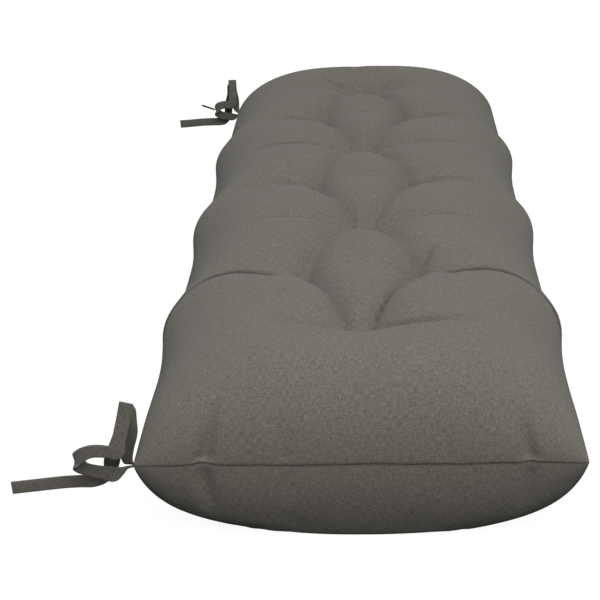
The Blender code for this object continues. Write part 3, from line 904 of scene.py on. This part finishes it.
# which way a strap's width lies, as (out, up, along)
ACROSS = {
    "up": (0.0, 1.0, 0.0),
    "out": (1.0, 0.0, 0.0),
    "turn": (0.7, 0.7, 0.0),
    "lean": (0.42, 0.0, -0.91),
    "face": (0.85, 0.0, -0.53),
    "edge": (0.09, -0.40, 0.91),
}
ROUTES = {
    # millimetres out, up and along from the corner, share of the width, way it lies
    "tie_near_looped": (
        (-0.7, -0.6, 0.8, 0.15, "up"),
        (4.5, 0.3, -3.5, 0.25, "up"),
        (9.5, -1.5, -6.5, 0.70, "up"),
        (16.0, -3.2, -9.0, 1.22, "up"),
        (24.0, -1.3, -10.0, 1.08, "up"),
        (35.0, 1.0, -10.0, 1.00, "up"),
        (43.0, 4.5, -11.0, 1.00, "up"),
        (47.5, 13.0, -16.0, 1.00, "up"),
        (41.0, 21.5, -21.0, 1.00, "up"),
        (33.0, 25.5, -22.0, 1.00, "up"),
        (24.0, 26.0, -22.0, 1.00, "up"),
        (16.5, 25.0, -21.8, 0.98, "up"),
        (9.8, 24.8, -21.3, 1.15, "turn"),
        (7.8, 33.0, -20.5, 1.00, "out"),
        (5.0, 43.0, -19.5, 1.00, "out"),
        (1.5, 57.0, -18.0, 1.00, "out"),
        (-1.5, 69.5, -17.0, 1.02, "out"),
    ),
    "tie_near_tailed": (
        (-0.6, 1.1, 0.8, 0.10, "out"),
        (3.0, 8.5, -6.0, 0.75, "face"),
        (2.2, 21.0, -9.5, 1.05, "face"),
        (-2.5, 35.0, -10.5, 0.92, "face"),
        (-4.5, 47.0, -10.0, 1.00, "lean"),
        (-4.0, 57.0, -9.0, 1.00, "lean"),
        (-0.5, 60.5, -7.5, 1.00, "lean"),
        (3.0, 56.0, -5.5, 1.00, "lean"),
        (6.0, 42.0, -3.0, 1.00, "face"),
        (11.5, 26.0, -1.0, 1.15, "face"),
        (17.0, 11.0, 1.0, 1.30, "face"),
        (21.0, -4.0, 2.5, 1.00, "turn"),
        (28.0, -13.0, 3.0, 0.90, "up"),
        (38.0, -16.5, 3.5, 1.00, "up"),
        (49.0, -16.7, 3.5, 1.00, "up"),
        (64.0, -17.3, 3.0, 1.00, "up"),
        (86.0, -19.0, 1.5, 1.00, "up"),
        (110.0, -20.5, -1.0, 1.00, "up"),
    ),
    "tie_far_looped": (
        (-0.7, -0.6, -0.8, 0.12, "up"),
        (5.0, -3.0, 3.0, 0.55, "up"),
        (10.0, -4.5, 4.0, 0.95, "up"),
        (17.5, -4.0, 4.5, 1.00, "up"),
        (25.5, -2.5, 4.5, 1.00, "up"),
        (32.0, 0.5, 3.5, 1.00, "up"),
        (35.5, 7.0, 0.0, 1.00, "up"),
        (31.0, 14.5, -4.0, 1.00, "up"),
        (23.0, 17.5, -5.0, 1.00, "up"),
        (16.5, 17.5, -5.0, 0.98, "up"),
        (10.3, 18.3, -5.0, 1.10, "turn"),
        (8.3, 26.0, -5.0, 0.96, "out"),
        (7.8, 34.0, -4.5, 1.00, "out"),
        (7.5, 45.0, -4.0, 1.00, "out"),
        (7.7, 57.0, -3.0, 1.00, "out"),
    ),
    "tie_far_tailed": (
        (-0.6, 1.1, -0.8, 0.10, "out"),
        (4.0, 8.5, 6.0, 0.85, "face"),
        (5.0, 19.5, 9.0, 1.00, "face"),
        (5.0, 33.0, 9.0, 1.00, "lean"),
        (5.8, 43.0, 9.0, 1.00, "lean"),
        (7.1, 47.3, 9.2, 1.00, "lean"),
        (10.0, 49.0, 9.5, 1.00, "lean"),
        (12.9, 47.3, 10.0, 1.00, "lean"),
        (14.2, 43.0, 10.5, 1.00, "lean"),
        (14.8, 32.0, 11.5, 1.00, "lean"),
        (15.5, 18.0, 12.5, 1.10, "face"),
        (17.5, 3.0, 13.0, 1.10, "face"),
        (19.0, -8.0, 13.0, 0.75, "turn"),
        (26.0, -14.0, 13.0, 0.90, "up"),
        (34.0, -14.5, 12.5, 1.00, "up"),
        (44.0, -14.3, 12.0, 1.00, "up"),
        (60.5, -14.5, 11.0, 1.00, "up"),
        (77.5, -15.5, 10.0, 1.00, "up"),
        (95.5, -16.3, 9.0, 1.00, "up"),
    ),
    "tie_far_tab": (
        (37.6, 8.2, 1.5, 0.80, "edge"),
        (47.5, 12.0, 0.5, 1.00, "edge"),
        (58.0, 16.0, 0.0, 1.00, "edge"),
    ),
}

# %% A smooth curve through a route
def smooth_rows(rows):
    """Catmull-Rom: each piece is a cubic through its two rows, aimed by their neighbours."""
    padded = np.concatenate((2 * rows[:1] - rows[1:2], rows, 2 * rows[-1:] - rows[-2:-1]))
    before, start, end, after = padded[:-3], padded[1:-2], padded[2:-1], padded[3:]
    t = (np.arange(STEPS) / STEPS)[None, :, None]
    before, start, end, after = (rows[:, None, :] for rows in (before, start, end, after))
    smooth = (start + 0.5 * t * (end - before)
              + t ** 2 * (before - 2.5 * start + 2.0 * end - 0.5 * after)
              + t ** 3 * (1.5 * (start - end) + 0.5 * (after - before)))
    return np.concatenate((smooth.reshape(-1, rows.shape[1]), rows[-1:]))


def to_world(vectors):
    """Out, up and along as X, Y and Z."""
    out, up, along = vectors.T
    return np.stack((-out, along, up), axis=1)


# %% A strap's surface
SECTION_POINTS = 20
FACE_POWER, EDGE_POWER = 0.35, 0.8      # how flat the faces are, and how round the edges
# painted shade on each strap at its knot, and on the parts behind the others
KNOTS = {"near": (13.0, 14.0, 9.0), "far": (11.0, 5.0, 11.0)}      # out, up, reach
SHADED = {"looped": (0.35, 0.0), "tailed": (1.0, 0.45), "tab": (0.6, 0.6)}


def strap_shade(name, route):
    """Painted shade: the larger of a bell over the knot and a share for the rows behind the
    others.
    """
    out, up, reach = KNOTS["far" if "far" in name else "near"]
    at_knot, sideways = SHADED[name.rsplit("_", 1)[1]]
    rows = np.array([(*row[:2], float(row[4] not in ("up", "out", "turn"))) for row in route])
    smooth = smooth_rows(rows)
    away = np.hypot(smooth[:, 0] - out, smooth[:, 1] - up) / reach
    return np.clip(np.maximum(at_knot * np.exp(-away ** 2), sideways * smooth[:, 2]), 0.0, 1.0)


def strap_frame(route, corner):
    """The middle line, the unit width direction, the thin direction, and the widths."""
    places = np.array([row[:4] for row in route])
    directions = np.array([ACROSS[row[4]] for row in route])
    smooth = smooth_rows(np.concatenate((places, directions), axis=1))
    middle = corner + to_world(smooth[:, :3]) * MILLIMETRE
    line = np.gradient(middle, axis=0)
    line /= np.linalg.norm(line, axis=1, keepdims=True)
    across = to_world(smooth[:, 4:])
    across -= (across * line).sum(axis=1, keepdims=True) * line
    across /= np.linalg.norm(across, axis=1, keepdims=True)
    return middle, across, np.cross(line, across), smooth[:, 3]


def make_strap(name, route, corner):
    """A flat section with round edges, carried along the middle line and capped.

    The section is (half width x cos^FACE_POWER, half thickness x sin^EDGE_POWER), with
    the signs of the cosine and the sine.
    """
    middle, across, thin, wide = strap_frame(route, corner)
    turn = np.linspace(0.0, 2 * np.pi, SECTION_POINTS, endpoint=False)
    flat = np.sign(np.cos(turn)) * np.abs(np.cos(turn)) ** FACE_POWER
    thick = np.sign(np.sin(turn)) * np.abs(np.sin(turn)) ** EDGE_POWER
    half_width = STRAP_WIDTH / 2 * wide
    half_thick = STRAP_THICKNESS / 2
    rings = (middle[:, None] + across[:, None] * (half_width[:, None] * flat)[..., None]
             + thin[:, None] * (half_thick * thick)[None, :, None])
    count, section = rings.shape[:2]
    index = np.arange(count * section).reshape(count, section)
    following = np.roll(index, -1, axis=1)
    sides = np.stack((index[1:], following[1:], following[:-1], index[:-1]), axis=-1)
    caps = [index[0].tolist(), index[-1, ::-1].tolist()]
    mesh = bpy.data.meshes.new(name)
    mesh.from_pydata(rings.reshape(-1, 3).tolist(), [], sides.reshape(-1, 4).tolist() + caps)
    mesh.update()
    mesh.shade_smooth()
    made = bpy.data.objects.new(name, mesh)
    bpy.context.scene.collection.objects.link(made)
    steps = np.linalg.norm(np.diff(middle, axis=0), axis=1)
    length = np.concatenate(([0.0], np.cumsum(steps)))
    # UV in metres: across the strap, and along it
    ring_uv = np.stack(np.broadcast_arrays(flat[None, :] * STRAP_WIDTH / 2,
                                           length[:, None]), axis=-1)
    loops = np.empty(len(mesh.loops), dtype=np.int32)
    mesh.loops.foreach_get("vertex_index", loops)
    layer = mesh.uv_layers.new(name="weave")
    layer.data.foreach_set("uv", ring_uv.reshape(-1, 2)[loops].astype(np.float32).ravel())
    # painted shade at the knot and behind the other straps, kept in the attribute "seam"
    dark = np.repeat(strap_shade(name.removesuffix("_cloth"), route), section)
    attribute = mesh.attributes.new("seam", "FLOAT", "POINT")
    attribute.data.foreach_set("value", dark.astype(np.float32))
    made.data.materials.append(strap_cloth)
    return made, float(length[-1])


# %% The five straps
for name, route in ROUTES.items():
    end = 1.0 if "far" in name else -1.0
    corner = np.array((-WIDTH / 2, end * LENGTH / 2, SEAM_HEIGHT))
    strap, length = make_strap(name + "_cloth", route, corner)
    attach(strap, "root")
    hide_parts(name)
    print(name, "is", round(length * 1000), "mm long")
